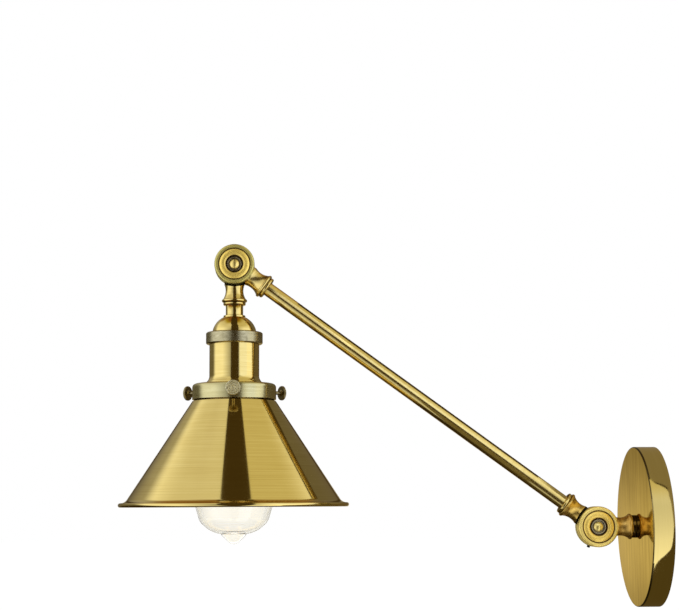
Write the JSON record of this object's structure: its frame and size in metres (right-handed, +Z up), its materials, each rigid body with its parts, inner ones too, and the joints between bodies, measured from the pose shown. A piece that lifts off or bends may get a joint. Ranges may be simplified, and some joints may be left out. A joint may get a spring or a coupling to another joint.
{
  "type": "wall lamp",
  "caption": "Brass wall lamp with a round canopy, a straight swing arm turning on knuckle joints, and a cone shade on a socket with a clear teardrop bulb.",
  "frame": {"origin": "centre of the canopy's back rim, on the wall plane and midway between the strap's slots", "axes": "+X into the wall, +Z up, the arm in the XZ plane reaching out along -X"},
  "size_m": [0.4296, 0.1832, 0.2915],
  "materials": {
    "brushed_brass": "brushed, lacquered",
    "antique_brass": "satin, aged",
    "plated_steel": "zinc plated",
    "green_paint": "painted",
    "black_steel": "black oxide",
    "nylon": "moulded",
    "wire_jacket": "extruded",
    "porcelain": "glazed",
    "screw_brass": "bright",
    "bulb_glass": "clear, faint warm tint",
    "bulb_metal": "bright",
    "black_vitrite": "fused glass",
    "filament": "phosphor coated",
    "support_wire": "drawn wire"
  },
  "bodies": {
    "wall_base": {"canopy_cover": "brushed_brass", "mounting_strap": "plated_steel", "canopy_screws": "plated_steel", "ground_screw": "green_paint", "canopy_nipple": "plated_steel", "lock_washer": "plated_steel", "canopy_nut": "plated_steel", "neck_ring": "brushed_brass", "neck_knuckle": "brushed_brass", "wall_pivot_bolt": "brushed_brass", "wall_cup_washer": "plated_steel", "wall_friction_ring": "nylon", "wall_flat_washer": "plated_steel", "wall_spring_washer": "plated_steel", "wall_cap_nut": "brushed_brass", "supply_leads": "wire_jacket"},
    "arm": {"arm_knuckle_lower": "brushed_brass", "wall_stop_pin": "plated_steel", "wall_grub_screw": "black_steel", "arm_ring_lower": "brushed_brass", "arm_tube": "brushed_brass", "arm_ring_upper": "brushed_brass", "arm_knuckle_upper": "brushed_brass", "head_pivot_bolt": "brushed_brass", "head_cup_washer": "plated_steel", "head_friction_ring": "nylon", "head_flat_washer": "plated_steel", "head_spring_washer": "plated_steel", "head_cap_nut": "brushed_brass", "arm_leads": "wire_jacket"},
    "head": {"head_knuckle": "brushed_brass", "head_stop_pin": "plated_steel", "stem_ring": "brushed_brass", "stem_tube": "brushed_brass", "head_nipple": "plated_steel", "head_nut": "plated_steel", "socket_cap": "brushed_brass", "knurled_ring": "antique_brass", "socket_shell": "brushed_brass", "socket_core": "porcelain", "screw_shell": "screw_brass", "centre_contact": "screw_brass", "terminal_screws": "plated_steel", "clamp_ring": "plated_steel", "shade_fitter": "antique_brass", "shade": "brushed_brass", "head_leads": "wire_jacket", "bulb_glass": "bulb_glass", "bulb_cap": "bulb_metal", "bulb_insulator": "black_vitrite", "bulb_contact": "bulb_metal", "bulb_stem": "bulb_glass", "bulb_filaments": "filament", "filament_supports": "support_wire"},
    "thumb_front": {"thumbscrew_front": "antique_brass"},
    "thumb_left": {"thumbscrew_left": "antique_brass"},
    "thumb_right": {"thumbscrew_right": "antique_brass"}
  },
  "joints": [
    {"name": "wall_pivot", "type": "hinge", "parent": "wall_base", "child": "arm", "pos_m": [-0.0475, 0, 0], "axis": [0, 1, 0], "range_deg": [-126.1, 53.9]},
    {"name": "head_pivot", "type": "hinge", "parent": "arm", "child": "head", "pos_m": [-0.33797, 0, 0.21181], "axis": [0, 1, 0], "range_deg": [0, 240]},
    {"name": "thumb_front_out", "type": "slide", "parent": "head", "child": "thumb_front", "axis": [0, -1, 0], "range_m": [0, 0.004]},
    {"name": "thumb_left_out", "type": "slide", "parent": "head", "child": "thumb_left", "axis": [-0.866, 0.5, 0], "range_m": [0, 0.004]},
    {"name": "thumb_right_out", "type": "slide", "parent": "head", "child": "thumb_right", "axis": [0.866, 0.5, 0], "range_m": [0, 0.004]}
  ]
}
